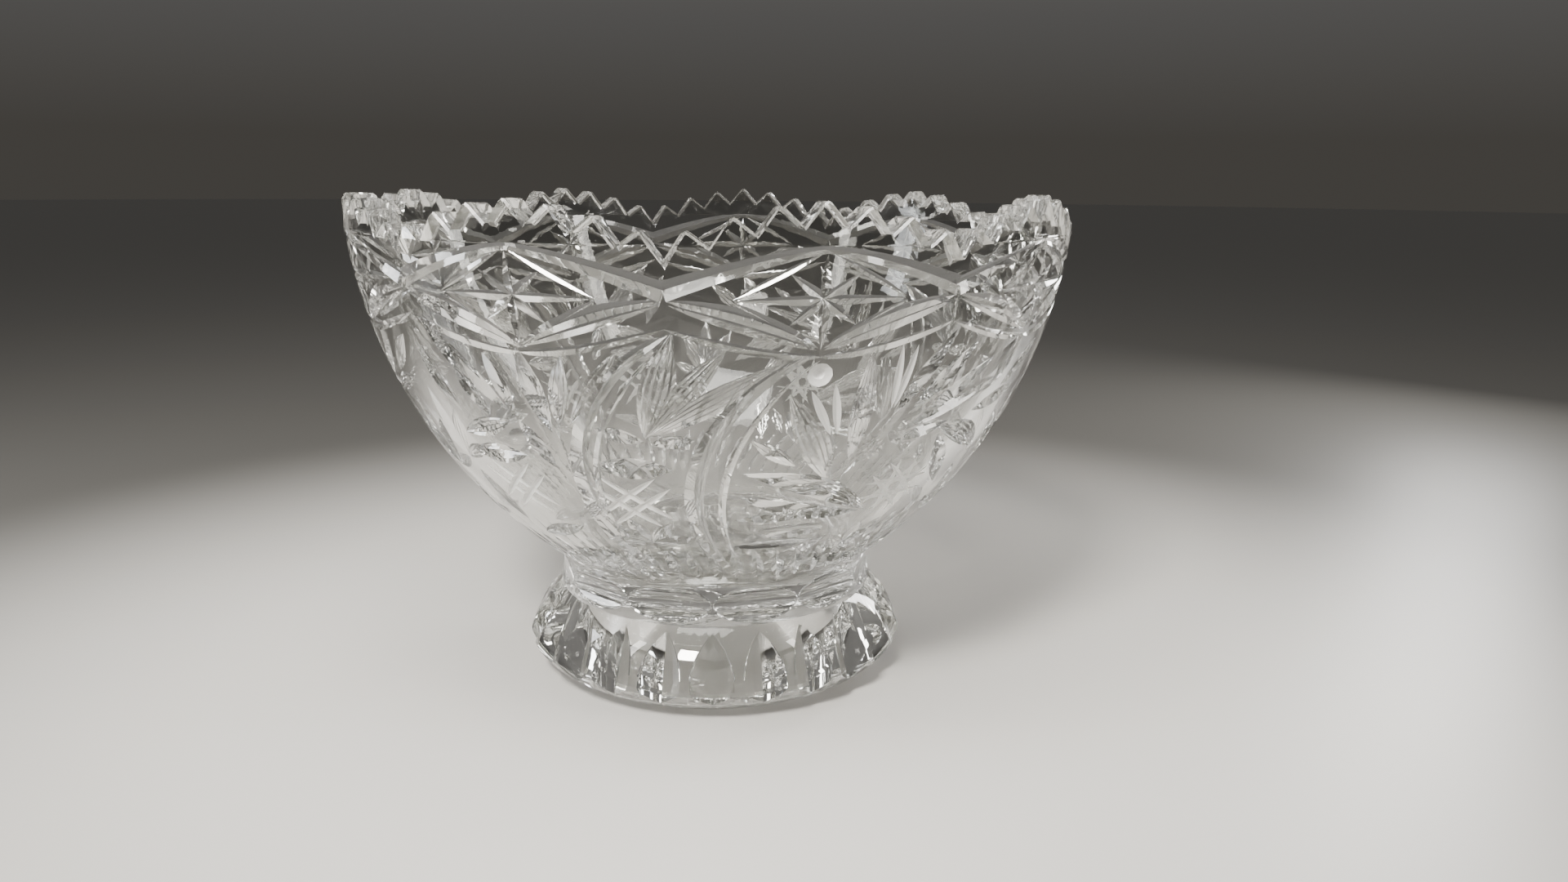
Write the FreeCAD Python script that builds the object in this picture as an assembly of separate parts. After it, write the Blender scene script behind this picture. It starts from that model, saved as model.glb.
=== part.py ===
import FreeCAD, Part
import math
import os

# Cut-crystal punch bowl on a separate ring stand.
# Frame: millimetres, Z up, origin on the table at the centre of the stand.
# The front is -Y, where one scallop of the rim is centred.

# ---------------------------------------------------------------- driving dimensions
# Stand: a thick ring, open right through, that flares to a fluted foot.
stand_height = 32.0
stand_bore_radius = 46.0          # bore that takes the bowl's plug
base_ring_width = 9.0             # flat ring that touches the table, out from the bore
foot_flare = 13.9                 # how far the foot's edge stands out beyond the seat
stand_edge_height = 12.0          # height of the widest part
seat_setback = 1.0                # how far the seat's edge is inside the collar's
stand_under_bulge = 2.5           # how far the underside bows out from a straight bevel
stand_upper_bulge = 2.0           # how far the upper side bows out from a straight cone
stand_edge_round = 3.0
stand_bore_chamfer = 1.0

flute_count = 24
flute_angle = 116.0               # angle between the two sides of each V flute
flute_top_drop = 1.8              # top point of a flute, below the seat
flute_tip_height = 7.0            # bottom point of a flute, on the underside

# Bowl: a thick-walled body on a short collar, with a plug under it.
bowl_height = 146.0               # from the seat to the highest tooth tip
rim_radius = 128.5                # outside of the rim band
rim_band_height = 12.0            # upright band, down from the highest tooth tip
wall_thickness = 10.0
floor_thickness = 16.0            # at the middle, above the seat
floor_corner_radius = 14.0        # inside, where the floor turns up into the wall
body_bulge = 14.5                 # how far the body bows out from a straight cone
collar_radius = 59.6
collar_height = 14.5
plug_depth = 5.0
plug_clearance = 0.5              # radial, between plug and bore
plug_chamfer = 0.8

thumbprint_count = 12
thumbprint_land = 0.6             # uncut glass left between two ovals
thumbprint_low_margin = 1.7       # uncut band between the ovals and the seat
thumbprint_high_margin = 1.3      # uncut band between the ovals and the neck

# Rim: scallops, each cut into saw teeth by V cuts that run through the wall.
scallop_count = 9
teeth_per_scallop = 7
tooth_depth = 6.2                 # valley, below the curve that joins the tips
tip_width = 1.8                   # blunt part of a tip, at the middle of the wall
tip_slope = 0.55                  # rise over run of the blunt part
scallop_drop = 8.0                # lowest tip of a scallop, below its highest
scallop_curve_power = 1.55        # 1 is a straight slope, 2 is a parabola
front_angle = -90.0

# ---------------------------------------------------------------- derived places
seat_z = stand_height
top_z = seat_z + bowl_height
rim_band_z = top_z - rim_band_height
neck_z = seat_z + collar_height
floor_z = seat_z + floor_thickness
plug_radius = stand_bore_radius - plug_clearance
stand_base_radius = stand_bore_radius + base_ring_width
stand_seat_radius = collar_radius - seat_setback
stand_edge_radius = stand_seat_radius + foot_flare
thumbprint_height = collar_height - thumbprint_low_margin - thumbprint_high_margin
rim_middle_radius = rim_radius - wall_thickness / 2
tooth_pitch = 2 * math.pi * rim_middle_radius / (scallop_count * teeth_per_scallop)
overcut = 1.0                     # how far a cutting solid passes outside the glass


def at(radius, height):
    """A point of the half section, which lies in the XZ plane."""
    return FreeCAD.Vector(radius, 0, height)


def line(start, end):
    return Part.LineSegment(start, end).toShape()


def bowed_arc(start, end, bulge):
    """An arc edge from start to end that bows out from its chord, away from the axis."""
    chord = end - start
    outward = FreeCAD.Vector(chord.z, 0, -chord.x).normalize()
    if outward.x < 0:
        outward = outward.negative()
    middle = (start + end) * 0.5 + outward * bulge
    return Part.Arc(start, middle, end).toShape()


def turned(edges):
    """The solid of revolution of a closed half section."""
    face = Part.Face(Part.Wire(edges))
    return face.revolve(FreeCAD.Vector(0, 0, 0), FreeCAD.Vector(0, 0, 1), 360)


def ring_of_copies(shape, count, first_angle):
    """The same cutting solid repeated round the Z axis."""
    copies = []
    for number in range(count):
        copy = shape.copy()
        copy.rotate(FreeCAD.Vector(0, 0, 0), FreeCAD.Vector(0, 0, 1), first_angle + number * 360 / count)
        copies.append(copy)
    return copies


def v_groove(inner, outer, sideways, outward, half_angle, reach):
    """A wedge whose sharp edge runs from inner to outer and which opens along outward."""
    half_width = reach * math.tan(math.radians(half_angle))
    left = inner + outward * reach + sideways * half_width
    right = inner + outward * reach - sideways * half_width
    triangle = Part.Face(Part.makePolygon([inner, left, right, inner]))
    return triangle.extrude(outer - inner)


# ---------------------------------------------------------------- stand
def make_stand():
    bottom = at(stand_base_radius, 0)
    edge = at(stand_edge_radius, stand_edge_height)
    seat = at(stand_seat_radius, stand_height)
    bore_low = at(stand_bore_radius, stand_bore_chamfer)
    bore_high = at(stand_bore_radius, stand_height - stand_bore_chamfer)
    mouth_low = at(stand_bore_radius + stand_bore_chamfer, 0)
    mouth_high = at(stand_bore_radius + stand_bore_chamfer, stand_height)
    outline = [
        line(mouth_low, bottom),
        bowed_arc(bottom, edge, stand_under_bulge),
        bowed_arc(edge, seat, stand_upper_bulge),
        line(seat, mouth_high),
        line(mouth_high, bore_high),
        line(bore_high, bore_low),
        line(bore_low, mouth_low),
    ]
    blank = turned(outline)
    rounded = blank.makeFillet(stand_edge_round, circles_at(blank, stand_edge_radius, stand_edge_height))
    return rounded.cut(ring_of_copies(flute_cutter(), flute_count, front_angle))


def circles_at(solid, radius, height):
    """The edges of a turned solid that run round at one radius and height."""
    found = []
    for edge in solid.Edges:
        box = edge.BoundBox
        level = box.ZLength < 0.01 and abs(box.ZMin - height) < 0.01
        if level and abs(box.XMax - radius) < 0.01:
            found.append(edge)
    return found


def flute_cutter():
    """One V flute, from just under the seat, over the foot's edge, to its underside."""
    upper_arc = bowed_arc(
        at(stand_edge_radius, stand_edge_height), at(stand_seat_radius, stand_height), stand_upper_bulge
    )
    under_arc = bowed_arc(at(stand_base_radius, 0), at(stand_edge_radius, stand_edge_height), stand_under_bulge)
    top = point_at_height(upper_arc, stand_height - flute_top_drop)
    tip = point_at_height(under_arc, flute_tip_height)
    run = (tip - top).normalize()
    sideways = FreeCAD.Vector(0, 1, 0)
    outward = sideways.cross(run).normalize()
    if outward.x < 0:
        outward = outward.negative()
    reach = stand_edge_radius - stand_seat_radius
    above = top - run * reach
    below = tip + run * reach
    return v_groove(above, below, sideways, outward, flute_angle / 2, reach)


def point_at_height(arc, height):
    """The point of an arc of the half section at one height, on its outer side."""
    circle = arc.Curve
    across = math.sqrt(circle.Radius ** 2 - (height - circle.Center.z) ** 2)
    return at(circle.Center.x + across, height)


# ---------------------------------------------------------------- bowl
def make_bowl():
    bowl = bowl_blank().cut(bowl_inside())
    bowl = bowl.cut(ring_of_copies(thumbprint_cutter(), thumbprint_count, front_angle))
    for cutter in tooth_cutters():
        bowl = bowl.cut(cutter)
    return bowl


def body_arc():
    """The outside of the body, from the collar up to the rim band."""
    return bowed_arc(at(collar_radius, neck_z), at(rim_radius, rim_band_z), body_bulge)


def bowl_blank():
    outline = [
        line(at(0, seat_z - plug_depth), at(plug_radius - plug_chamfer, seat_z - plug_depth)),
        line(at(plug_radius - plug_chamfer, seat_z - plug_depth), at(plug_radius, seat_z - plug_depth + plug_chamfer)),
        line(at(plug_radius, seat_z - plug_depth + plug_chamfer), at(plug_radius, seat_z)),
        line(at(plug_radius, seat_z), at(collar_radius, seat_z)),
        line(at(collar_radius, seat_z), at(collar_radius, neck_z)),
        body_arc(),
        line(at(rim_radius, rim_band_z), at(rim_radius, top_z)),
        line(at(rim_radius, top_z), at(0, top_z)),
        line(at(0, top_z), at(0, seat_z - plug_depth)),
    ]
    return turned(outline)


def bowl_inside():
    """The space inside the bowl: the body's arc moved in by the wall, on a round-cornered floor."""
    centre = body_arc().Curve.Center
    inner_top = at(rim_radius - wall_thickness, rim_band_z)
    inner_radius = inner_top.distanceToPoint(centre)
    floor_radius = centre.x + math.sqrt(inner_radius ** 2 - (floor_z - centre.z) ** 2)
    floor_edge = at(floor_radius, floor_z)
    halfway = ((inner_top - centre) + (floor_edge - centre)).normalize()
    above = top_z + overcut
    outline = [
        line(at(0, floor_z), floor_edge),
        Part.Arc(floor_edge, centre + halfway * inner_radius, inner_top).toShape(),
        line(inner_top, at(inner_top.x, above)),
        line(at(inner_top.x, above), at(0, above)),
        line(at(0, above), at(0, floor_z)),
    ]
    space = turned(outline)
    return space.makeFillet(floor_corner_radius, circles_at(space, floor_radius, floor_z))


def thumbprint_cutter():
    """A cylinder lying along the collar's tangent, which leaves one shallow oval."""
    half_step = math.radians(180 / thumbprint_count) - thumbprint_land / (2 * collar_radius)
    depth = collar_radius * (1 - math.cos(half_step))
    cutter_radius = ((thumbprint_height / 2) ** 2 + depth ** 2) / (2 * depth)
    half_length = collar_radius * math.tan(half_step) + overcut
    middle_z = seat_z + thumbprint_low_margin + thumbprint_height / 2
    start = FreeCAD.Vector(collar_radius - depth + cutter_radius, -half_length, middle_z)
    return Part.makeCylinder(cutter_radius, 2 * half_length, start, FreeCAD.Vector(0, 1, 0))


def scallop_fall(step):
    """How far the scallop's outline is below the top, so many teeth from the scallop's middle."""
    steps_to_side = (teeth_per_scallop - 1) / 2
    return scallop_drop * (abs(step) / steps_to_side) ** scallop_curve_power


def tooth_cutters():
    """One cut for each valley of the rim, square through the wall, up to just past the tips beside it."""
    half_pitch = tooth_pitch / 2
    reach = 1.06 * half_pitch
    last_step = (teeth_per_scallop - 1) / 2
    cutters = []
    for scallop in range(scallop_count):
        for valley in range(teeth_per_scallop):
            step = valley - last_step + 0.5
            profile = [(0, top_z - scallop_fall(step) - tooth_depth)]
            for side in (-1, 1):
                tip_z = top_z - scallop_fall(min(abs(step + side * 0.5), last_step))
                profile.append((side * (half_pitch - tip_width / 2), tip_z - tip_slope * tip_width / 2))
                profile.append((side * reach, tip_z + tip_slope * (reach - half_pitch)))
                profile.append((side * reach, top_z + overcut))
            profile = profile[3:0:-1] + profile[:1] + profile[4:]
            inner_x = rim_radius - wall_thickness - overcut
            points = [FreeCAD.Vector(inner_x, across, height) for across, height in profile]
            face = Part.Face(Part.makePolygon(points + points[:1]))
            cutter = face.extrude(FreeCAD.Vector(wall_thickness + 2 * overcut, 0, 0))
            angle = front_angle + (scallop + step / teeth_per_scallop) * 360 / scallop_count
            cutter.rotate(FreeCAD.Vector(0, 0, 0), FreeCAD.Vector(0, 0, 1), angle)
            cutters.append(cutter)
    return cutters


# ---------------------------------------------------------------- write the parts
def main():
    os.makedirs("parts", exist_ok=True)
    for name, solid in (("pedestal_stand", make_stand()), ("punch_bowl", make_bowl())):
        solid.exportStep("parts/" + name + ".step")
        box = solid.optimalBoundingBox(True, False)
        print(name, "valid", solid.isValid(), "solids", len(solid.Solids), "volume cm3", round(solid.Volume / 1000, 1))
        print("  X", round(box.XMin, 2), round(box.XMax, 2), "Z", round(box.ZMin, 2), round(box.ZMax, 2))


main()
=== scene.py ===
import math

import bpy
import numpy as np
from mathutils import Matrix, Vector


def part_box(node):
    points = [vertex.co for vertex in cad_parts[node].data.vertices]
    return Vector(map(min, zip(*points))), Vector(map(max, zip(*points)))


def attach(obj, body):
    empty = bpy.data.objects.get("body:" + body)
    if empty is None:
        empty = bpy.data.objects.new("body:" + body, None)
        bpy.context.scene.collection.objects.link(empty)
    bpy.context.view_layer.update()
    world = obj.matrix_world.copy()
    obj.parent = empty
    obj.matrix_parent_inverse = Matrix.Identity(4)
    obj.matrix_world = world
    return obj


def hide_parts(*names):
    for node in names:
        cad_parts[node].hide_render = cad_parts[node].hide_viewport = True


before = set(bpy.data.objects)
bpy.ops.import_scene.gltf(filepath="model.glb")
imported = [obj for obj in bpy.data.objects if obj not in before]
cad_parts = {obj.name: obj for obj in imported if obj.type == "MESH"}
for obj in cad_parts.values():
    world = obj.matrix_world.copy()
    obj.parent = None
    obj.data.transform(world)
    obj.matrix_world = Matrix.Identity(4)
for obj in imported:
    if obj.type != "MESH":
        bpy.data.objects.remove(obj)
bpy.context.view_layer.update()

# ---------------------------------------------------------------- sizes, in metres and degrees
MM = 0.001
stand_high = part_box("pedestal_stand")[1]
bowl_low, bowl_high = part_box("punch_bowl")

seat_z = stand_high.z
plug_z = bowl_low.z
top_z = bowl_high.z
rim_radius = bowl_high.x
collar_radius = 59.6 * MM
collar_height = 14.5 * MM
neck_z = seat_z + collar_height
rim_band_z = top_z - 12.0 * MM
wall_thickness = 10.0 * MM
floor_z = seat_z + 16.0 * MM
floor_corner = 14.0 * MM
body_bulge = 14.5 * MM
bore_radius = 46.0 * MM
plug_radius = bore_radius - 0.5 * MM
plug_chamfer = 0.8 * MM
bore_chamfer = 1.0 * MM
air_film = 0.05 * MM              # between the stand and the bowl that sits on it

base_radius = bore_radius + 9.0 * MM
seat_radius = collar_radius - 1.0 * MM
foot_radius = seat_radius + 13.9 * MM
foot_edge_z = 12.0 * MM
under_bulge = 2.5 * MM
upper_bulge = 2.0 * MM
foot_edge_round = 3.0 * MM

scallops = 9
teeth = 7
tooth_depth = 6.2 * MM
tip_width = 1.8 * MM
tip_slope = 0.55
tooth_chamfer = 0.8 * MM          # worn edge on both sides of a tooth
scallop_drop = 8.0 * MM
scallop_power = 1.55
thumbprints = 12
thumbprint_land = 0.6 * MM        # left between two thumbprints
thumbprint_foot_gap = 1.7 * MM
thumbprint_neck_gap = 1.3 * MM
flutes = 24
flute_half_angle = 58
flute_top_drop = 1.8 * MM
flute_tip_z = 7.0 * MM
motifs = 3
star_up = 127.5                   # way up the wall to a star's middle and to its foot, in millimetres
star_foot = 112.8

scallop_angle = 360 / scallops
half_scallop = scallop_angle / 2
around = 288                      # faces round a turned blank

CLEAR, CUT, FROST = 0, 1, 2       # material slots of the crystal pieces


# ---------------------------------------------------------------- turned blanks
def circle_through(start, end, bulge):
    """Centre and radius of an arc that bows out from its chord by bulge, on the right of start to end."""
    start, end = np.array(start, float), np.array(end, float)
    chord = end - start
    half = np.linalg.norm(chord) / 2
    right = np.array([chord[1], -chord[0]]) / (2 * half)
    radius = (half ** 2 + bulge ** 2) / (2 * bulge)
    return (start + end) / 2 - right * (radius - bulge), radius


def arc_run(centre, radius, start, end, count, outward=1):
    """Points (r, z) and normals along an arc of the section, from start to end the short way."""
    first = math.atan2(start[1] - centre[1], start[0] - centre[0])
    last = math.atan2(end[1] - centre[1], end[0] - centre[0])
    swing = (last - first + math.pi) % (2 * math.pi) - math.pi
    angles = first + swing * np.linspace(0, 1, count + 1)
    rays = np.stack([np.cos(angles), np.sin(angles)], 1)
    return np.array(centre) + radius * rays, outward * rays


def straight_run(start, end, count=1):
    """Points (r, z) and normals along a straight stretch, with the glass on its left."""
    start, end = np.array(start, float), np.array(end, float)
    points = start + (end - start) * np.linspace(0, 1, count + 1)[:, None]
    along = (end - start) / np.linalg.norm(end - start)
    return points, np.tile([along[1], -along[0]], (count + 1, 1))


def turned_rings(radii, heights, turn):
    """Vertices, and the vertex numbers of each ring; a ring on the axis is one point."""
    vertices, rings = [], []
    for radius, height in zip(radii, heights):
        if radius < 1e-9:
            rings.append([len(vertices)] * around)
            vertices.append((0, 0, height))
            continue
        rings.append(list(range(len(vertices), len(vertices) + around)))
        vertices += [(radius * math.cos(a), radius * math.sin(a), height) for a in turn]
    if abs(radii[0] - radii[-1]) < 1e-9 and abs(heights[0] - heights[-1]) < 1e-9:
        rings[-1] = rings[0]
        vertices = vertices[:-around]
    return vertices, rings


def turned_mesh(name, runs):
    """A closed solid of revolution from joined runs, with the true normal kept on every face corner."""
    section = np.concatenate([points[:-1] for points, normals in runs] + [runs[-1][0][-1:]])
    pairs = np.concatenate([np.stack([normals[:-1], normals[1:]], 1) for points, normals in runs])
    turn = np.linspace(0, 2 * math.pi, around, endpoint=False)
    vertices, rings = turned_rings(section[:, 0], section[:, 1], turn)
    faces, corner_normals = [], []
    for row, (low_ring, high_ring) in enumerate(zip(rings, rings[1:])):
        for number in range(around):
            after = (number + 1) % around
            corners = [(low_ring[number], number, 0), (low_ring[after], after, 0),
                       (high_ring[after], after, 1), (high_ring[number], number, 1)]
            kept = []
            for corner in corners:
                if all(corner[0] != other[0] for other in kept):
                    kept.append(corner)
            faces.append([corner[0] for corner in kept])
            for _, step, end in kept:
                across, up = pairs[row][end]
                corner_normals.append((across * math.cos(turn[step]), across * math.sin(turn[step]), up))
    return crystal_mesh(name, vertices, faces, corner_normals, [CLEAR] * len(faces))


def crystal_mesh(name, vertices, faces, corner_normals, slots):
    mesh = bpy.data.meshes.new(name)
    mesh.from_pydata(vertices, [], faces)
    for material in crystal_materials:
        mesh.materials.append(material)
    mesh.polygons.foreach_set("material_index", slots)
    kept = mesh.attributes.new("true_normal", "FLOAT_VECTOR", "CORNER")
    kept.data.foreach_set("vector", np.array(corner_normals, float).ravel())
    return mesh


body_centre, body_radius = circle_through((collar_radius, neck_z), (rim_radius, rim_band_z), body_bulge)


def bowl_blank():
    inner_radius = np.hypot(rim_radius - wall_thickness - body_centre[0], rim_band_z - body_centre[1])
    corner_z = floor_z + floor_corner
    corner_rise = corner_z - body_centre[1]
    corner_r = body_centre[0] + math.sqrt((inner_radius - floor_corner) ** 2 - corner_rise ** 2)
    corner = np.array([corner_r, corner_z])
    toward = (corner - body_centre) / np.linalg.norm(corner - body_centre)
    inner_rim = (rim_radius - wall_thickness, rim_band_z)
    inner_low = corner + toward * floor_corner
    floor_end = (corner_r, floor_z)
    runs = [
        straight_run((0, plug_z), (plug_radius - plug_chamfer, plug_z), 3),
        straight_run((plug_radius - plug_chamfer, plug_z), (plug_radius, plug_z + plug_chamfer)),
        straight_run((plug_radius, plug_z + plug_chamfer), (plug_radius, seat_z)),
        straight_run((plug_radius, seat_z), (collar_radius, seat_z), 2),
        straight_run((collar_radius, seat_z), (collar_radius, neck_z), 5),
        arc_run(body_centre, body_radius, (collar_radius, neck_z), (rim_radius, rim_band_z), 56),
        straight_run((rim_radius, rim_band_z), (rim_radius, top_z), 4),
        straight_run((rim_radius, top_z), (inner_rim[0], top_z), 2),
        straight_run((inner_rim[0], top_z), inner_rim, 3),
        arc_run(body_centre, inner_radius, inner_rim, inner_low, 36, outward=-1),
        arc_run(corner, floor_corner, inner_low, floor_end, 8, outward=-1),
        straight_run(floor_end, (0, floor_z), 4),
    ]
    return turned_mesh("bowl_blank", runs)


def under_arc():
    return circle_through((base_radius, 0), (foot_radius, foot_edge_z), under_bulge)


def upper_arc():
    return circle_through((foot_radius, foot_edge_z), (seat_radius, seat_z), upper_bulge)


def stand_blank():
    low_centre, low_radius = under_arc()
    high_centre, high_radius = upper_arc()
    inset = foot_edge_round
    ball = meeting_of_circles(low_centre, low_radius - inset, high_centre, high_radius - inset)
    low_touch = ball + (ball - low_centre) / np.linalg.norm(ball - low_centre) * inset
    high_touch = ball + (ball - high_centre) / np.linalg.norm(ball - high_centre) * inset
    mouth = bore_radius + bore_chamfer
    seat_top = seat_z - air_film
    runs = [
        straight_run((mouth, 0), (base_radius, 0), 2),
        arc_run(low_centre, low_radius, (base_radius, 0), low_touch, 8),
        arc_run(ball, inset, low_touch, high_touch, 6),
        arc_run(high_centre, high_radius, high_touch, (seat_radius, seat_top), 14),
        straight_run((seat_radius, seat_top), (mouth, seat_top), 2),
        straight_run((mouth, seat_top), (bore_radius, seat_z - bore_chamfer)),
        straight_run((bore_radius, seat_z - bore_chamfer), (bore_radius, bore_chamfer), 6),
        straight_run((bore_radius, bore_chamfer), (mouth, 0)),
    ]
    return turned_mesh("stand_blank", runs)


def meeting_of_circles(first, first_radius, second, second_radius):
    """The point where two circles of the section cross, furthest from the axis."""
    gap = second - first
    distance = np.linalg.norm(gap)
    along = (distance ** 2 + first_radius ** 2 - second_radius ** 2) / (2 * distance)
    aside = math.sqrt(first_radius ** 2 - along ** 2)
    middle = first + gap / distance * along
    across = np.array([gap[1], -gap[0]]) / distance * aside
    return max(middle + across, middle - across, key=lambda point: point[0])


# ---------------------------------------------------------------- places on the bowl's outside
body_start = math.atan2(neck_z - body_centre[1], collar_radius - body_centre[0])
body_end = math.atan2(rim_band_z - body_centre[1], rim_radius - body_centre[0])
body_length = (body_end - body_start) * body_radius


def on_section(up):
    """Radius, height and normal (r, z) of the outside, up being the way along the wall from the neck."""
    if up > body_length:
        return rim_radius, rim_band_z + up - body_length, 1.0, 0.0
    angle = body_start + up / body_radius
    across, rise = math.cos(angle), math.sin(angle)
    return body_centre[0] + body_radius * across, body_centre[1] + body_radius * rise, across, rise


def on_wall(angle, up):
    """Point and outward normal at an angle from the front (to the right) and a way up the wall."""
    radius, height, across, rise = on_section(up)
    azimuth = math.radians(angle - 90)
    ray = np.array([math.cos(azimuth), math.sin(azimuth), 0])
    return ray * radius + np.array([0, 0, height]), ray * across + np.array([0, 0, rise])


def degree_width(up):
    """Length of one degree round the bowl, at a way up the wall."""
    return math.radians(1) * on_section(up)[0]


# ---------------------------------------------------------------- cutting solids
above_glass = 1.2 * MM


class Cutter:
    """A closed solid that is taken away from the glass, with the normals that its cut leaves."""

    def __init__(self, vertices, faces, corner_normals, slot):
        self.vertices = np.array(vertices, float)
        self.faces = faces
        self.corner_normals = corner_normals
        self.slot = slot
        self.low = self.vertices.min(0) - 0.1 * MM
        self.high = self.vertices.max(0) + 0.1 * MM

    def clear_of(self, other):
        return bool(np.any(self.low > other.high) or np.any(self.high < other.low))

    def turned_by(self, angle):
        c, s = math.cos(math.radians(angle)), math.sin(math.radians(angle))
        spin = np.array([[c, -s, 0], [s, c, 0], [0, 0, 1]])
        return Cutter(self.vertices @ spin.T, self.faces, np.array(self.corner_normals) @ spin.T, self.slot)


def unit(vectors):
    return vectors / np.linalg.norm(vectors, axis=-1)[..., None]


def groove_grid(points, normals, depths, half_angle, hollow_radius):
    """Rows of points across the groove, one row for each point of its path."""
    aside = unit(np.cross(unit(np.gradient(points, axis=0)), normals))
    steps = np.array([-1.0, 0.0, 1.0]) if half_angle else np.linspace(-1, 1, 9)
    grid = []
    for point, normal, side, depth in zip(points, normals, aside, depths):
        if half_angle:
            slope = math.tan(math.radians(half_angle))
            offsets = steps * (depth + above_glass) * slope
            rises = -depth + np.abs(offsets) / slope
        else:
            offsets = steps * math.sqrt(2 * hollow_radius * (depth + above_glass))
            rises = -depth + offsets ** 2 / (2 * hollow_radius)
        grid.append(point + offsets[:, None] * side + rises[:, None] * normal)
    return np.array(grid)


def strip_normals(grid, smooth):
    """Normals at the two sides of every strip of the groove; a V groove is flat across each strip."""
    along = np.gradient(grid, axis=0)
    if smooth:
        normals = unit(np.cross(np.gradient(grid, axis=1), along))
        return normals[:, :-1], normals[:, 1:]
    across = grid[:, 1:] - grid[:, :-1]
    return unit(np.cross(across, along[:, :-1])), unit(np.cross(across, along[:, 1:]))


def swept_cutter(points, normals, depths, slot, half_angle=None, hollow_radius=None):
    """A groove along a path: V shaped with a half angle, or hollow with a radius."""
    points, normals = np.array(points), np.array(normals)
    grid = groove_grid(points, normals, depths, half_angle, hollow_radius)
    rows, columns = grid.shape[:2]
    left, right = strip_normals(grid, bool(hollow_radius))
    faces, corner_normals = [], []
    for row in range(rows - 1):
        near, far = row * columns, (row + 1) * columns
        for column in range(columns - 1):
            faces.append([near + column, near + column + 1, far + column + 1, far + column])
            for side, place in ((left, row), (right, row), (right, row + 1), (left, row + 1)):
                normal = side[place, column]
                corner_normals.append(normal if normal @ normals[place] > 0 else -normal)
        faces.append([near, far, far + columns - 1, near + columns - 1])
        corner_normals += [(0, 0, 0)] * 4
    last = (rows - 1) * columns
    faces += [list(range(columns))[::-1], list(range(last, last + columns))]
    corner_normals += [(0, 0, 0)] * (2 * columns)
    return outward_facing(grid.reshape(-1, 3), faces, corner_normals, slot)


def outward_facing(vertices, faces, corner_normals, slot):
    """Turns every face over if the solid is inside out."""
    volume = 0.0
    for face in faces:
        for second, third in zip(face[1:-1], face[2:]):
            volume += np.dot(vertices[face[0]], np.cross(vertices[second], vertices[third]))
    if volume > 0:
        return Cutter(vertices, faces, corner_normals, slot)
    turned, normals, start = [], [], 0
    for face in faces:
        part = corner_normals[start:start + len(face)]
        turned.append(face[::-1])
        normals += list(part)[::-1]
        start += len(face)
    return Cutter(vertices, turned, normals, slot)


def bezier(controls, count):
    """Points along a Bezier curve of any number of controls (angle, way up)."""
    t = np.linspace(0, 1, count + 1)[:, None]
    layers = [np.repeat(point[None], count + 1, 0) for point in np.array(controls, float)]
    while len(layers) > 1:
        layers = [a * (1 - t) + b * t for a, b in zip(layers, layers[1:])]
    return layers[0]


def groove(controls, width, slot=CUT, half_angle=58, count=10, offset=0.0, hollow=0.0, taper=0.75):
    """A cut that follows a curve on the wall, pointed where it starts and ends.

    controls are (angle, millimetres up the wall); width is the widest place, in millimetres; offset bows
    the curve sideways by so many millimetres at its middle; hollow makes a round cut of that depth.
    """
    path = bezier(controls, count)
    t = np.linspace(0, 1, count + 1)
    steps = np.gradient(path, axis=0)
    points, normals = [], []
    for (angle, up), (turn, rise), share in zip(path, steps, t):
        per_degree = degree_width(up * MM) / MM
        length = math.hypot(turn * per_degree, rise)
        push = offset * math.sin(math.pi * share)
        angle += -rise / length * push / per_degree
        up += turn * per_degree / length * push
        point, normal = on_wall(angle, up * MM)
        points.append(point)
        normals.append(normal)
    swell = np.sin(math.pi * t) ** taper
    if hollow:
        radius = width ** 2 / 8 / hollow
        depths = hollow * swell - 0.12
        return swept_cutter(points, normals, depths * MM, slot, hollow_radius=radius * MM)
    depths = width / 2 / math.tan(math.radians(half_angle)) * swell - 0.06
    return swept_cutter(points, normals, depths * MM, slot, half_angle=half_angle)


def leaf(base, tip, width, blades=5, bow=0.0):
    """A feathered leaf: narrow cuts that part from its base and meet at its tip, widest in its middle."""
    cuts = []
    for number in range(blades):
        share = 2 * number / (blades - 1) - 1
        offset = bow + share * (width / 2) * (1 - 1 / blades)
        blade_width = (1.3 + 0.8 * (1 - abs(share))) * width / blades
        cuts.append(groove([base, tip], blade_width, CUT, 47, 8, offset))
    return cuts


def bar_pair(centre, direction, length, spacing, width, slot=FROST):
    """Two parallel spears across a centre; direction is degrees above the horizontal."""
    angle, up = centre
    per_degree = degree_width(up * MM) / MM
    along = np.array([math.cos(math.radians(direction)), math.sin(math.radians(direction))])
    across = np.array([-along[1], along[0]])
    cuts = []
    for side in (-1, 1):
        ends = []
        for way in (-1, 1):
            place = across * side * spacing / 2 + along * way * length / 2
            ends.append((angle + place[0] / per_degree, up + place[1]))
        cuts.append(groove(ends, width, slot, 60, 6, taper=0.5))
    return cuts


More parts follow.
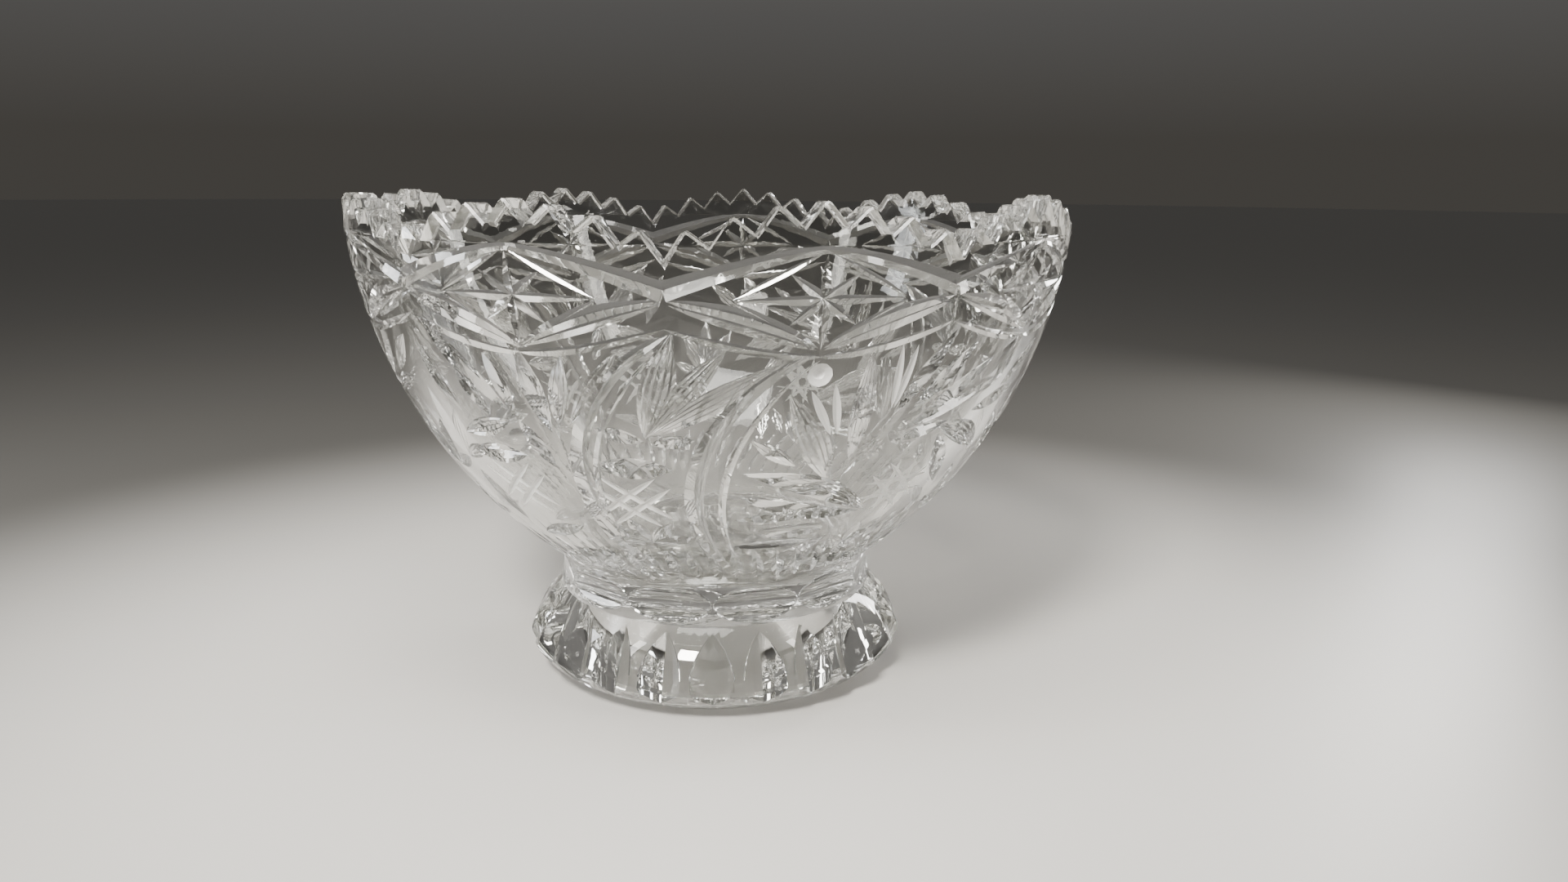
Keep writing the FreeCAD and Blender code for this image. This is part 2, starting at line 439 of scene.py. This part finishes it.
def ball_cutter(centre, radius, slot, rows=12, columns=24):
    """A sphere that leaves a round dish."""
    vertices, faces, corner_normals = [], [], []
    for row in range(1, rows):
        polar = math.pi * row / rows
        for column in range(columns):
            turn = 2 * math.pi * column / columns
            wide = math.sin(polar)
            vertices.append((wide * math.cos(turn), wide * math.sin(turn), math.cos(polar)))
    top, bottom = len(vertices), len(vertices) + 1
    vertices += [(0, 0, 1), (0, 0, -1)]
    for column in range(columns):
        after = (column + 1) % columns
        faces.append([top, column, after])
        for row in range(rows - 2):
            low, high = (row + 1) * columns, row * columns
            faces.append([high + column, low + column, low + after, high + after])
        last = (rows - 2) * columns
        faces.append([last + column, bottom, last + after])
    for face in faces:
        corner_normals += [-np.array(vertices[corner]) for corner in face]
    return Cutter(np.array(vertices) * radius + centre, faces, corner_normals, slot)


def ring(cutters, count):
    """The same cutters repeated round the axis."""
    return [cutter.turned_by(number * 360 / count) for number in range(count) for cutter in cutters]


# ---------------------------------------------------------------- rim, band, body, collar and foot cuts
def scallop_fall(step):
    return scallop_drop * (abs(step) / ((teeth - 1) / 2)) ** scallop_power


def valley_profile(step):
    """Outline (across, height) of one valley, up to just past the tips beside it."""
    half_pitch = math.pi * (rim_radius - wall_thickness / 2) / (scallops * teeth)
    reach = 1.06 * half_pitch
    slopes = []
    for side in (-1, 1):
        tip_z = top_z - scallop_fall(min(abs(step + side * 0.5), (teeth - 1) / 2))
        slopes.append([
            (side * (half_pitch - tip_width / 2), tip_z - tip_slope * tip_width / 2),
            (side * reach, tip_z + tip_slope * (reach - half_pitch)),
            (side * reach, top_z + 1 * MM),
        ])
    bottom = (0, top_z - scallop_fall(step) - tooth_depth)
    return slopes[0][::-1] + [bottom] + slopes[1]


def valley_cutter(step):
    """The cut for one valley, square through the wall, with a worn edge inside and outside."""
    profile = valley_profile(step)
    azimuth = math.radians(-90 + step * scallop_angle / teeth)
    ray = np.array([math.cos(azimuth), math.sin(azimuth), 0])
    side_way = np.array([-ray[1], ray[0], 0])
    inner, outer, past = rim_radius - wall_thickness, rim_radius, 1 * MM
    sections = ((inner - past, tooth_chamfer + past), (inner + tooth_chamfer, 0),
                (outer - tooth_chamfer, 0), (outer + past, tooth_chamfer + past))
    vertices = []
    for radius, fall in sections:
        for across, height in profile:
            lower = 0 if height > top_z + 0.5 * MM else fall
            vertices.append(ray * radius + side_way * across + np.array([0, 0, height - lower]))
    size = len(profile)
    faces = [list(range(size)), list(range(4 * size - 1, 3 * size - 1, -1))]
    for part in (0, size, 2 * size):
        for n in range(size):
            after = (n + 1) % size
            faces.append([part + after, part + n, part + size + n, part + size + after])
    corners = sum(len(face) for face in faces)
    return outward_facing(np.array(vertices), faces, [(0, 0, 0)] * corners, CUT)


def tooth_cutters():
    steps = [valley - (teeth - 1) / 2 + 0.5 for valley in range(teeth)]
    return ring([valley_cutter(step) for step in steps], scallops)


def mirrored(controls):
    return [(-angle, up) for angle, up in controls]


def both_ways(controls, *args, **kwargs):
    return [groove(controls, *args, **kwargs), groove(mirrored(controls), *args, **kwargs)]


def arc_cutter():
    """The wide cut that follows one scallop, narrow at its top and broad where it meets its neighbours."""
    angles = np.linspace(-half_scallop, half_scallop, 41)
    share = np.abs(angles) / half_scallop
    ups = 141.3 - 11.3 * share ** 1.35
    widths = 2.2 + 3.8 * share
    half_angle = 64
    points, normals = zip(*[on_wall(angle, up * MM) for angle, up in zip(angles, ups)])
    depths = widths / 2 / math.tan(math.radians(half_angle)) * MM
    return swept_cutter(points, normals, depths, CUT, half_angle=half_angle)


def band_cutters():
    """One star panel of the band under the rim."""
    cutters = [
        arc_cutter(),
        groove([(-11.6, star_up), (11.6, star_up)], 3.2, half_angle=54, count=8),
        groove([(0, 140.6), (0, star_foot)], 3.6, half_angle=54, count=8),
        groove([(-4.6, 120), (4.6, 135)], 3.6, half_angle=54, count=6),
        groove([(-4.6, 135), (4.6, 120)], 3.6, half_angle=54, count=6),
    ]
    cutters += both_ways([(0.2, 140.8), (11.8, star_up)], 2.0, half_angle=52, count=6)
    cutters += both_ways([(11.8, star_up), (0.4, star_foot)], 3.4, half_angle=56, count=6)
    cutters += both_ways([(-19.8, star_up), (-8.2, 123.4), (-0.2, star_foot + 0.6)], 5.6, half_angle=60)
    cutters += both_ways([(-19.6, 126.4), (-0.2, star_foot)], 3.4, half_angle=54)
    cutters += both_ways([(-20.3, 119.7), (-7.2, 110.4), (0.6, 111.0)], 2.8, half_angle=54, taper=0.4)
    return ring(cutters, scallops)


def crescent(outer, inner):
    """A broad curved cut with a narrow one inside it."""
    broad = groove(outer, 6.0, half_angle=53, count=26, taper=0.45)
    return [broad, groove(inner, 2.6, half_angle=50, count=22)]


def left_fan():
    """Leaves that spread from a point between the two crescents."""
    hub = (-24.1, 84)
    cutters = leaf(hub, (-19, 118.8), 9.6)
    cutters += leaf(hub, (-12, 114.5), 7.4)
    cutters += leaf(hub, (-4.6, 109.4), 7.4)
    cutters += leaf((-23.2, 82.5), (-16.6, 84), 4.6, 3)
    cutters += leaf((-24.1, 83), (-31.7, 87), 5.0, 3)
    cutters += leaf((-33.4, 72.5), (-20.2, 72.5), 8.4, 5)
    return cutters


def right_fan():
    """The larger fan, to the right of the second crescent, with its cross-hatched middle."""
    cutters = leaf((5.6, 65), (-3.6, 99.8), 9.4)
    cutters += leaf((7.9, 73), (7.7, 113), 7.2)
    cutters += leaf((16.6, 48.6), (-9.7, 71), 8.6, 5, bow=-3.4)
    cutters += leaf((15.2, 49), (-9.9, 61), 6.4, 3, bow=3.0)
    cutters += leaf((4.8, 50.5), (-10.4, 49.5), 4.6, 3)
    cutters.append(groove([(-5.8, 41.8), (8.7, 41.8)], 8.8, hollow=1.0, count=14, taper=0.6))
    cutters += leaf((9.5, 35.2), (-10.9, 34), 5.4, 3)
    cutters += leaf((10.9, 37), (-2.7, 18.5), 6.2, 3)
    cutters.append(groove([(10.2, 21), (14, 9)], 8.0, hollow=1.0, taper=0.6))
    for direction in (45, -45):
        for spread in (1.7, 5.1):
            cutters += bar_pair((11.3, 78), direction, 10, spread, 1.3, CUT)
    cutters.append(groove([(9.6, 111), (11.5, 88)], 6.2, hollow=0.7, count=8))
    cutters += leaf((13.2, 89), (21.4, 117), 5.6, 4)
    cutters += leaf((16.8, 91), (26.7, 112), 6.0, 4)
    cutters += leaf((17.9, 86), (32.4, 106), 5.6, 4)
    cutters += leaf((15.1, 83), (34.6, 97), 4.4, 3)
    cutters += leaf((15.3, 80), (26.5, 84), 4.6, 3)
    return cutters


def frosted_cuts():
    """Crosses, star, spears and button that the cutter left matt."""
    cutters = []
    for centre in ((-28.5, 57), (-51.1, 58.5)):
        cutters += bar_pair(centre, 42, 30, 5.8, 2.7)
        cutters += bar_pair(centre, -42, 29, 5.8, 2.7)
    for direction in (0, 45, 90, 135):
        cutters += bar_pair((20.9, 58.5), direction, 27, 6.6, 2.4)
    for controls in (((-0.6, 100.6), (3.7, 84)), ((2.8, 102.6), (4.7, 84)),
                     ((12.2, 113.8), (12.8, 91.8)), ((14.8, 113.4), (13.2, 91.8))):
        cutters.append(groove(controls, 3.0, FROST, 60, 8))
    place, normal = on_wall(0.4, 105.2 * MM)
    cutters.append(ball_cutter(place + normal * 6.4 * MM, 7.5 * MM, FROST))
    cutters.append(ball_cutter(place + normal * 0.2 * MM, 2.0 * MM, FROST))
    return cutters


def side_leaves():
    """Leaves that fill the wall between the two fans."""
    cutters = leaf((23.8, 83), (41.3, 68), 8.6, 5, bow=2.0)
    cutters += leaf((25.1, 79.5), (33.7, 55), 7.0, 5)
    cutters += leaf((31.8, 86), (45.1, 92), 6.0, 4)
    cutters += leaf((34.6, 94), (39.4, 112), 7.0, 5)
    cutters += leaf((38.4, 93), (47.9, 108), 6.4, 4)
    cutters += leaf((-45.2, 90.5), (-58.3, 118.4), 7.4, 5)
    cutters += leaf((-56, 87), (-61.7, 112), 7.0, 5)
    cutters += leaf((-49.4, 88), (-53.9, 104), 6.0, 4)
    cutters += leaf((-38.6, 84), (-40.8, 113), 7.2, 5)
    cutters += leaf((-37.2, 86), (-34.2, 111), 6.2, 4)
    cutters += leaf((-35.1, 88), (-26.2, 113), 5.0, 3)
    cutters += leaf((-43.9, 90), (-46.9, 110), 5.0, 3)
    cutters += leaf((-44.1, 88), (-40.3, 70), 6.0, 4)
    cutters += leaf((-45.6, 87), (-58.3, 79), 6.4, 4)
    cutters += leaf((-58.8, 71.5), (-45, 74), 7.6, 5)
    cutters += leaf((-62.1, 62), (-58.7, 38), 7.0, 5)
    cutters += leaf((-41.2, 42), (-56.4, 32), 6.4, 5)
    cutters += leaf((32.7, 50), (29.9, 26), 7.0, 5)
    cutters += leaf((23.3, 42), (16.6, 24), 6.4, 5)
    return cutters


def edge_fan():
    """Four leaves from one point, where one motif ends and the next begins."""
    hub = (49, 60)
    cutters = []
    for tip, width in (((42.4, 83), 6.4), ((48.6, 89), 6.8), ((54.6, 82), 6.4), ((57.4, 67), 5.6)):
        cutters += leaf(hub, tip, width, 4)
    cutters += leaf((37.5, 62), (41, 46), 4.6, 3)
    cutters += leaf((-1, 73), (-8.6, 84), 4.6, 3)
    cutters += leaf((28, 43), (23.6, 30), 4.4, 3)
    return cutters


def low_fan():
    """Short leaves that spread over the foot of the wall, between the ends of the crescents."""
    hub = (-27, 36)
    cutters = []
    for tip, width in (((-36, 46), 5.4), ((-30.5, 49.5), 5.4), ((-21.5, 48), 5.4),
                       ((-16.5, 40), 5.0), ((-37.5, 36), 5.0)):
        cutters += leaf(hub, tip, width, 4)
    hub = (44, 36)
    for tip, width in (((35.5, 47), 5.6), ((41, 54), 6.0), ((49, 52), 6.0), ((55, 40), 5.4)):
        cutters += leaf(hub, tip, width, 4)
    return cutters


def tail_spears():
    """A row of spears above the neck."""
    cutters = []
    for number in range(24):
        high = -60 + 5 * number
        lean = 4.5 + 3.0 * math.sin(math.radians(3 * high))
        cutters.append(groove([(high, 31), (high + lean, 7)], 4.6, half_angle=56, count=6))
    return cutters


def body_cutters():
    """One of the three large motifs."""
    cutters = crescent([(-0.4, 112), (-18.5, 95), (-25.1, 40), (-5.7, 9)],
                       [(-0.6, 109), (-11.8, 88), (-17, 55), (-8, 22)])
    cutters += crescent([(-19.4, 118), (-35.5, 101), (-45, 45), (-26, 9)],
                        [(-20.9, 113), (-30.8, 94), (-39.3, 55), (-29.8, 24)])
    cutters += left_fan() + right_fan() + edge_fan() + low_fan()
    cutters += frosted_cuts() + side_leaves() + tail_spears()
    return ring(cutters, motifs)


def thumbprint_outline(half_step, depth, radius, middle_z):
    """Two fine V cuts along the edge of one thumbprint, over it and under it."""
    turns = half_step * np.sin(np.linspace(-math.pi / 2, math.pi / 2, 25))
    recess = radius - depth + collar_radius * (1 - np.cos(turns))
    rises = np.sqrt(np.maximum(radius ** 2 - recess ** 2, 0))
    normals = [np.array([math.sin(turn), -math.cos(turn), 0]) for turn in turns]
    depths = 0.15 * MM + 0.55 * MM * np.cos(turns / half_step * math.pi / 2) ** 0.5
    cutters = []
    for side in (-1, 1):
        points = [ray * collar_radius + np.array([0, 0, middle_z + side * rise])
                  for ray, rise in zip(normals, rises)]
        cutters.append(swept_cutter(points, normals, depths, CUT, half_angle=48))
    return cutters


def thumbprint_cutters():
    half_step = math.radians(180 / thumbprints) - thumbprint_land / (2 * collar_radius)
    depth = collar_radius * (1 - math.cos(half_step))
    low, high = seat_z + thumbprint_foot_gap, neck_z - thumbprint_neck_gap
    radius = (((high - low) / 2) ** 2 + depth ** 2) / (2 * depth)
    outline = thumbprint_outline(half_step, depth, radius, (low + high) / 2)
    half_length = collar_radius * math.tan(half_step) + 1 * MM
    centre = np.array([0, -(collar_radius - depth + radius), (low + high) / 2])
    sides = 64
    turn = np.linspace(0, 2 * math.pi, sides, endpoint=False)
    rays = np.stack([np.zeros(sides), np.cos(turn), np.sin(turn)], 1)
    vertices = []
    for end in (-half_length, half_length):
        vertices += [centre + radius * ray + np.array([end, 0, 0]) for ray in rays]
    faces, corner_normals = [], []
    for side in range(sides):
        after = (side + 1) % sides
        faces.append([side, after, sides + after, sides + side])
        corner_normals += [-rays[side], -rays[after], -rays[after], -rays[side]]
    faces += [list(range(sides))[::-1], list(range(sides, 2 * sides))]
    corner_normals += [(0, 0, 0)] * (2 * sides)
    return ring([outward_facing(np.array(vertices), faces, corner_normals, CUT)] + outline, thumbprints)


def flute_edges(start, out, centre, radius):
    """Narrow polished edges down both sides of a flute, on the foot's upper slope."""
    heights = np.linspace(seat_z - 2.6 * MM, 16.5 * MM, 15)
    depths = 0.45 * MM * np.sin(np.linspace(0.12, 1, 15) * math.pi / 2)
    slope = math.tan(math.radians(flute_half_angle))
    cutters = []
    for side in (-1, 1):
        points, normals = [], []
        for height in heights:
            rise = (height - centre[1]) / radius
            slant = math.sqrt(1 - rise ** 2)
            reach = centre[0] + radius * slant
            across = 0
            for _ in range(4):
                place = np.array([0, -math.sqrt(reach ** 2 - across ** 2), height])
                across = (place - start) @ out * slope
            turn = side * math.asin(across / reach)
            ray = np.array([math.sin(turn), -math.cos(turn), 0])
            points.append(ray * reach + np.array([0, 0, height]))
            normals.append(ray * slant + np.array([0, 0, rise]))
        cutters.append(swept_cutter(points, normals, depths, CUT, half_angle=45))
    return cutters


def flute_cutters():
    """V flutes from just under the seat, over the foot's edge, to its underside."""
    upper_centre, upper_radius = upper_arc()
    under_centre, under_radius = under_arc()
    top_z_of_flute = seat_z - flute_top_drop
    top = upper_centre[0] + math.sqrt(upper_radius ** 2 - (top_z_of_flute - upper_centre[1]) ** 2)
    tip = under_centre[0] + math.sqrt(under_radius ** 2 - (flute_tip_z - under_centre[1]) ** 2)
    start, end = np.array([0, -top, top_z_of_flute]), np.array([0, -tip, flute_tip_z])
    run = (end - start) / np.linalg.norm(end - start)
    reach = foot_radius - seat_radius
    out = np.array([0, run[2], -run[1]])
    half_width = reach * math.tan(math.radians(flute_half_angle))
    vertices = []
    for apex in (start - run * reach, end + run * reach):
        for side in (0, -half_width, half_width):
            lift = out * reach if side else 0
            vertices.append(apex + lift + np.array([side, 0, 0]))
    faces = [[0, 1, 2], [3, 5, 4], [0, 3, 4, 1], [1, 4, 5, 2], [2, 5, 3, 0]]
    corners = sum(len(face) for face in faces)
    flute = outward_facing(np.array(vertices), faces, [(0, 0, 0)] * corners, CUT)
    return ring([flute] + flute_edges(start, out, upper_centre, upper_radius), flutes)


# ---------------------------------------------------------------- carving
def batches(cutters):
    """Sorts cutters into groups whose members stay clear of each other."""
    groups = []
    for cutter in cutters:
        for group in groups:
            if all(cutter.clear_of(other) for other in group):
                group.append(cutter)
                break
        else:
            groups.append([cutter])
    return groups


def joined(group):
    """One mesh that holds every cutter of a group."""
    vertices, faces, corner_normals, slots = [], [], [], []
    for cutter in group:
        first = len(vertices)
        vertices += cutter.vertices.tolist()
        faces += [[corner + first for corner in face] for face in cutter.faces]
        corner_normals += list(cutter.corner_normals)
        slots += [cutter.slot] * len(cutter.faces)
    return crystal_mesh("tool", vertices, faces, corner_normals, slots)


def cut_once(work, tool_mesh):
    """Takes one mesh away from the work."""
    tool = bpy.data.objects.new("tool", tool_mesh)
    bpy.context.scene.collection.objects.link(tool)
    step = work.modifiers.new("cut", "BOOLEAN")
    step.operation = "DIFFERENCE"
    step.solver = "MANIFOLD"
    step.material_mode = "TRANSFER"
    step.object = tool
    bpy.context.view_layer.update()
    graph = bpy.context.evaluated_depsgraph_get()
    result = bpy.data.meshes.new_from_object(work.evaluated_get(graph))
    work.modifiers.clear()
    old = work.data
    work.data = result
    bpy.data.meshes.remove(old)
    bpy.data.objects.remove(tool)
    bpy.data.meshes.remove(tool_mesh)


def carve(mesh, cutters):
    """Takes the cutters away from the mesh, one group after another."""
    work = bpy.data.objects.new("work", mesh)
    bpy.context.scene.collection.objects.link(work)
    for group in batches(cutters):
        cut_once(work, joined(group))
    mesh = work.data
    bpy.data.objects.remove(work)
    return mesh


def finish_piece(name, mesh, body, node):
    """Gives the carved mesh its true normals, and puts it in the CAD node's place."""
    mesh.name = name
    mesh.shade_smooth()
    loops = len(mesh.loops)
    kept = np.empty(loops * 3)
    mesh.attributes["true_normal"].data.foreach_get("vector", kept)
    kept = kept.reshape(-1, 3)
    face_normals = np.empty(len(mesh.polygons) * 3)
    mesh.polygons.foreach_get("normal", face_normals)
    sizes = np.empty(len(mesh.polygons), int)
    mesh.polygons.foreach_get("loop_total", sizes)
    flat = np.repeat(face_normals.reshape(-1, 3), sizes, axis=0)
    length = np.linalg.norm(kept, axis=1)
    agree = np.einsum("ij,ij->i", kept, flat) > 0.3 * length
    use = (length > 0.5) & agree
    normals = np.where(use[:, None], kept / np.maximum(length, 1e-9)[:, None], flat)
    mesh.normals_split_custom_set(normals.tolist())
    mesh.attributes.remove(mesh.attributes["true_normal"])
    piece = bpy.data.objects.new(name, mesh)
    bpy.context.scene.collection.objects.link(piece)
    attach(piece, body)
    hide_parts(node)
    return piece


# ---------------------------------------------------------------- materials
def node_material(name):
    material = bpy.data.materials.new(name)
    material.use_nodes = True
    nodes = material.node_tree.nodes
    return material, nodes, material.node_tree.links, nodes["Principled BSDF"]


def noise(nodes, links, scale, detail=3.0):
    place = nodes.new("ShaderNodeTexCoord")
    texture = nodes.new("ShaderNodeTexNoise")
    texture.inputs["Scale"].default_value = scale
    texture.inputs["Detail"].default_value = detail
    links.new(place.outputs["Object"], texture.inputs["Vector"])
    return texture


def ranged(nodes, links, source, low, high):
    """Maps a noise value to a range."""
    step = nodes.new("ShaderNodeMapRange")
    step.inputs["From Min"].default_value = 0.3
    step.inputs["From Max"].default_value = 0.7
    step.inputs["To Min"].default_value = low
    step.inputs["To Max"].default_value = high
    links.new(source, step.inputs["Value"])
    return step.outputs["Result"]


def crystal(name, roughness, bump_scale, bump_height, tint, clear=1.0):
    """Lead crystal: clear, heavy, with faint polishing marks and a slightly uneven surface."""
    material, nodes, links, shader = node_material(name)
    shader.inputs["Transmission Weight"].default_value = clear
    shader.inputs["IOR"].default_value = 1.56
    colour = nodes.new("ShaderNodeMix")
    colour.data_type = "RGBA"
    colour.inputs[6].default_value = (*tint, 1)
    colour.inputs[7].default_value = (tint[0] * 0.985, tint[1] * 0.99, tint[2] * 0.985, 1)
    haze = noise(nodes, links, 25)
    links.new(haze.outputs["Fac"], colour.inputs[0])
    links.new(colour.outputs[2], shader.inputs["Base Color"])
    marks = noise(nodes, links, 60, 5)
    links.new(ranged(nodes, links, marks.outputs["Fac"], *roughness), shader.inputs["Roughness"])
    grain = noise(nodes, links, bump_scale, 4)
    bump = nodes.new("ShaderNodeBump")
    bump.inputs["Distance"].default_value = bump_height
    bump.inputs["Strength"].default_value = 1.0
    links.new(grain.outputs["Fac"], bump.inputs["Height"])
    links.new(bump.outputs["Normal"], shader.inputs["Normal"])
    return material


def floor_material():
    """Pale round the bowl, with painted shade further out: the floor's colour darkens with distance, a
    painted pool of light round the bowl.
    """
    material, nodes, links, shader = node_material("pale_floor_painted_light_pool")
    shader.inputs["Roughness"].default_value = 0.45
    place = nodes.new("ShaderNodeTexCoord")
    distance = nodes.new("ShaderNodeVectorMath")
    distance.operation = "LENGTH"
    links.new(place.outputs["Object"], distance.inputs[0])
    stain = noise(nodes, links, 3)
    # Painted shade: a ramp on the distance from the bowl, pale inside 0.15 m and full shade by 0.46 m.
    ramp = nodes.new("ShaderNodeMapRange")
    ramp.interpolation_type = "SMOOTHSTEP"
    ramp.inputs["From Min"].default_value = 0.15
    ramp.inputs["From Max"].default_value = 0.46
    links.new(distance.outputs["Value"], ramp.inputs["Value"])
    pale = nodes.new("ShaderNodeMix")
    pale.data_type = "RGBA"
    pale.inputs[6].default_value = (0.42, 0.41, 0.392, 1)
    pale.inputs[7].default_value = (0.46, 0.45, 0.43, 1)
    links.new(stain.outputs["Fac"], pale.inputs[0])
    # Mixes the pale floor colour towards near black by that ramp, painting the fall-off of light into the
    # floor's colour.
    painted_shade = nodes.new("ShaderNodeMix")
    painted_shade.data_type = "RGBA"
    painted_shade.inputs[7].default_value = (0.07, 0.068, 0.063, 1)
    links.new(ramp.outputs["Result"], painted_shade.inputs[0])
    links.new(pale.outputs[2], painted_shade.inputs[6])
    links.new(painted_shade.outputs[2], shader.inputs["Base Color"])
    return material


# ---------------------------------------------------------------- room
def add_floor():
    reach, sides = 8.0, 96
    mesh = bpy.data.meshes.new("floor")
    turns = [2 * math.pi * side / sides for side in range(sides)]
    edge = [(reach * math.cos(a), reach * math.sin(a), 0) for a in turns]
    mesh.from_pydata(edge, [], [list(range(sides))])
    mesh.materials.append(floor_material())
    floor = bpy.data.objects.new("floor", mesh)
    floor.location.z = -0.1 * MM
    bpy.context.scene.collection.objects.link(floor)


def add_world():
    """A dim room: darkest behind the horizon, a little lighter overhead."""
    world = bpy.data.worlds.new("studio")
    bpy.context.scene.world = world
    world.use_nodes = True
    nodes, links = world.node_tree.nodes, world.node_tree.links
    background = nodes["Background"]
    place = nodes.new("ShaderNodeTexCoord")
    split = nodes.new("ShaderNodeSeparateXYZ")
    links.new(place.outputs["Generated"], split.inputs[0])
    ramp = nodes.new("ShaderNodeValToRGB")
    ramp.color_ramp.elements[0].position = 0.03
    ramp.color_ramp.elements[0].color = (0.060, 0.056, 0.050, 1)
    ramp.color_ramp.elements[1].position = 1.0
    ramp.color_ramp.elements[1].color = (0.30, 0.295, 0.28, 1)
    for height, grey in ((0.13, 0.09), (0.30, 0.16), (0.6, 0.22)):
        ramp.color_ramp.elements.new(height).color = (grey, grey * 0.97, grey * 0.93, 1)
    links.new(split.outputs["Z"], ramp.inputs["Fac"])
    links.new(ramp.outputs["Color"], background.inputs["Color"])
    background.inputs["Strength"].default_value = 1.0


def add_light(name, place, size, power, colour=(1, 1, 1)):
    data = bpy.data.lights.new(name, "AREA")
    data.shape = "RECTANGLE"
    data.size, data.size_y = size
    data.energy = power
    data.color = colour
    light = bpy.data.objects.new(name, data)
    light.location = place
    aim = Vector((0, 0, 0.08)) - Vector(place)
    light.rotation_euler = aim.to_track_quat("-Z", "Y").to_euler()
    light.visible_camera = False
    bpy.context.scene.collection.objects.link(light)


def lengthen_light_paths():
    """Light has to pass many faces of cut glass; cut short, its paths end in black facets."""
    paths = bpy.context.scene.cycles
    paths.max_bounces = 28
    paths.transmission_bounces = 28
    paths.glossy_bounces = 20
    paths.caustics_refractive = True
    paths.caustics_reflective = False


def add_camera():
    """Stands a little above the rim, in front and to the left, and looks slightly right of the axis."""
    distance, height = 0.4311, 0.1847
    bearing, heading, tilt, roll = 13.66, 17.18, 13.12, 0.5
    data = bpy.data.cameras.new("camera")
    data.sensor_width = 36
    data.lens = 26.23
    data.clip_start = 0.01
    camera = bpy.data.objects.new("camera", data)
    right = Vector((math.cos(math.radians(heading)), -math.sin(math.radians(heading)), 0))
    ahead = Vector((math.sin(math.radians(heading)), math.cos(math.radians(heading)), 0))
    down = Vector((0, 0, math.sin(math.radians(tilt))))
    ahead = (ahead * math.cos(math.radians(tilt)) - down).normalized()
    up = right.cross(ahead)
    x_axis = right * math.cos(math.radians(roll)) + up * math.sin(math.radians(roll))
    y_axis = up * math.cos(math.radians(roll)) - right * math.sin(math.radians(roll))
    turn = Matrix((x_axis, y_axis, -ahead)).transposed().to_4x4()
    toward = math.radians(bearing)
    place = Vector((-math.sin(toward) * distance, -math.cos(toward) * distance, height))
    camera.matrix_world = Matrix.Translation(place) @ turn
    bpy.context.scene.collection.objects.link(camera)
    bpy.context.scene.camera = camera


# ---------------------------------------------------------------- build
crystal_materials = [
    crystal("crystal_polished", (0.0, 0.012), 90, 0.00004, (0.85, 0.85, 0.83)),
    crystal("crystal_cut", (0.01, 0.06), 500, 0.00001, (0.86, 0.86, 0.84)),
    crystal("crystal_frosted", (0.42, 0.60), 1500, 0.00004, (0.97, 0.97, 0.95), 0.5),
]

bowl_cuts = tooth_cutters() + thumbprint_cutters() + band_cutters() + body_cutters()
bowl_mesh = carve(bowl_blank(), bowl_cuts)
stand_mesh = carve(stand_blank(), flute_cutters())
finish_piece("cut_bowl", bowl_mesh, "bowl", "punch_bowl")
finish_piece("cut_stand", stand_mesh, "stand", "pedestal_stand")

add_floor()
add_world()
add_light("key", (-0.42, -0.62, 0.80), (0.20, 0.20), 30, (1.0, 0.96, 0.90))
add_light("top", (-0.15, -0.25, 0.85), (0.4, 0.2), 6, (1.0, 0.98, 0.95))
add_light("left", (-0.75, 0.20, 0.30), (0.12, 0.4), 3, (0.95, 0.97, 1.0))
add_light("right", (0.70, 0.30, 0.35), (0.12, 0.4), 4, (1.0, 0.98, 0.95))
add_light("left_front", (-0.77, -0.22, 0.50), (0.08, 0.60), 3, (1.0, 0.97, 0.92))
add_light("right_front", (0.58, -0.56, 0.50), (0.08, 0.60), 3, (1.0, 0.97, 0.92))
add_camera()
lengthen_light_paths()
